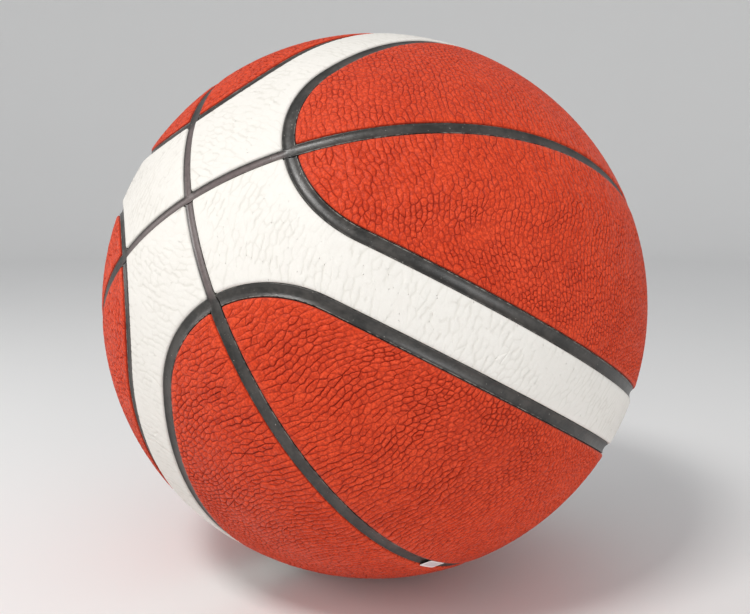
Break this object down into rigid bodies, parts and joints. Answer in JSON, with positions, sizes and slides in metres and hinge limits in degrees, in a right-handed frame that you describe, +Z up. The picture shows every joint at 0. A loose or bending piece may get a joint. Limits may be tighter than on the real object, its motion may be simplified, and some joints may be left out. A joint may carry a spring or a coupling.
{
  "type": "basketball",
  "caption": "Inflated match basketball with glued orange and white composite leather panels, dark seam strips sunk between them, and a needle valve.",
  "frame": {"origin": "centre of the ball", "axes": "+Z up and +X to the right as the ball lies in the picture, -Y towards the viewer. The two ring seams cross on the line (-0.564, -0.707, 0.427), and the valve is in the direction (-0.180, 0.610, 0.772)."},
  "size_m": [0.242, 0.242, 0.242],
  "materials": {
    "orange_cover": "pebbled, satin",
    "white_cover": "fine grain, satin",
    "seam_rubber": "semi-gloss",
    "backing_foam": "matte",
    "carcass_rubber": "matte",
    "nylon_thread": "waxed thread",
    "butyl_rubber": "satin",
    "core_rubber": "satin",
    "label_paper": "smooth"
  },
  "bodies": {
    "root": {"bladder": "butyl_rubber", "valve_housing": "butyl_rubber", "valve_core": "core_rubber", "nylon_winding": "nylon_thread", "rubber_carcass": "carcass_rubber", "foam_right_upper": "backing_foam", "foam_right_lower": "backing_foam", "foam_top_left": "backing_foam", "foam_top_right": "backing_foam", "foam_left_lower": "backing_foam", "foam_left_upper": "backing_foam", "foam_bottom_right": "backing_foam", "foam_bottom_left": "backing_foam", "foam_band_top_right": "backing_foam", "foam_band_top_left": "backing_foam", "foam_band_bottom_left": "backing_foam", "foam_band_bottom_right": "backing_foam", "cover_right_upper": "orange_cover", "cover_right_lower": "orange_cover", "cover_top_left": "orange_cover", "cover_top_right": "orange_cover", "cover_left_lower": "orange_cover", "cover_left_upper": "orange_cover", "cover_bottom_right": "orange_cover", "cover_bottom_left": "orange_cover", "cover_band_top_right": "white_cover", "cover_band_top_left": "white_cover", "cover_band_bottom_left": "white_cover", "cover_band_bottom_right": "white_cover", "ring_strip_whole": "seam_rubber", "ring_strip_top": "seam_rubber", "ring_strip_bottom": "seam_rubber", "loop_strip_right_upper": "seam_rubber", "loop_strip_right_lower": "seam_rubber", "loop_strip_top_left": "seam_rubber", "loop_strip_top_right": "seam_rubber", "loop_strip_left_lower": "seam_rubber", "loop_strip_left_upper": "seam_rubber", "loop_strip_bottom_right": "seam_rubber", "loop_strip_bottom_left": "seam_rubber", "blank_label": "label_paper"}
  },
  "joints": []
}
